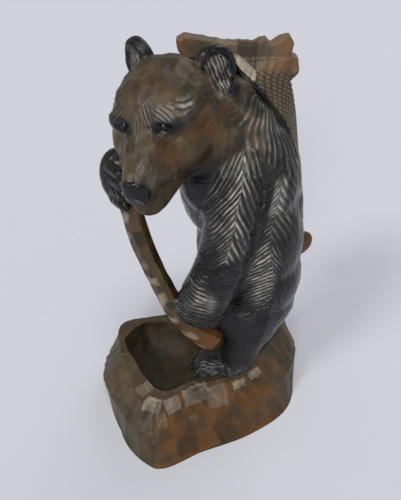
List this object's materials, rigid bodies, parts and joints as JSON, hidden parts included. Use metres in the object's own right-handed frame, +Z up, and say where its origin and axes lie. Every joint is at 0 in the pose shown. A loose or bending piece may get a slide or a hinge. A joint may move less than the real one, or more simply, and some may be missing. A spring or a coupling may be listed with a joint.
{
  "type": "carved wooden bear",
  "caption": "Standing bear carved with its hollowed plinth from one block of wood, gripping a bent stave, with a salmon on its back.",
  "frame": {"origin": "centre of the bounding box's base, on the surface that the plinth stands on", "axes": "+Z up; the bear's body faces -X with its left side towards -Y, and its head is turned to its left, towards -Y"},
  "size_m": [0.1856, 0.146, 0.3219],
  "materials": {
    "stained_wood": "stained dark brown to black and lacquered glossy, with warmer orange-brown where it is thin or worn",
    "eye_glass": "polished black bead"
  },
  "bodies": {
    "root": {"carved_bear": "stained_wood", "eye_left": "eye_glass", "eye_right": "eye_glass"}
  },
  "joints": []
}
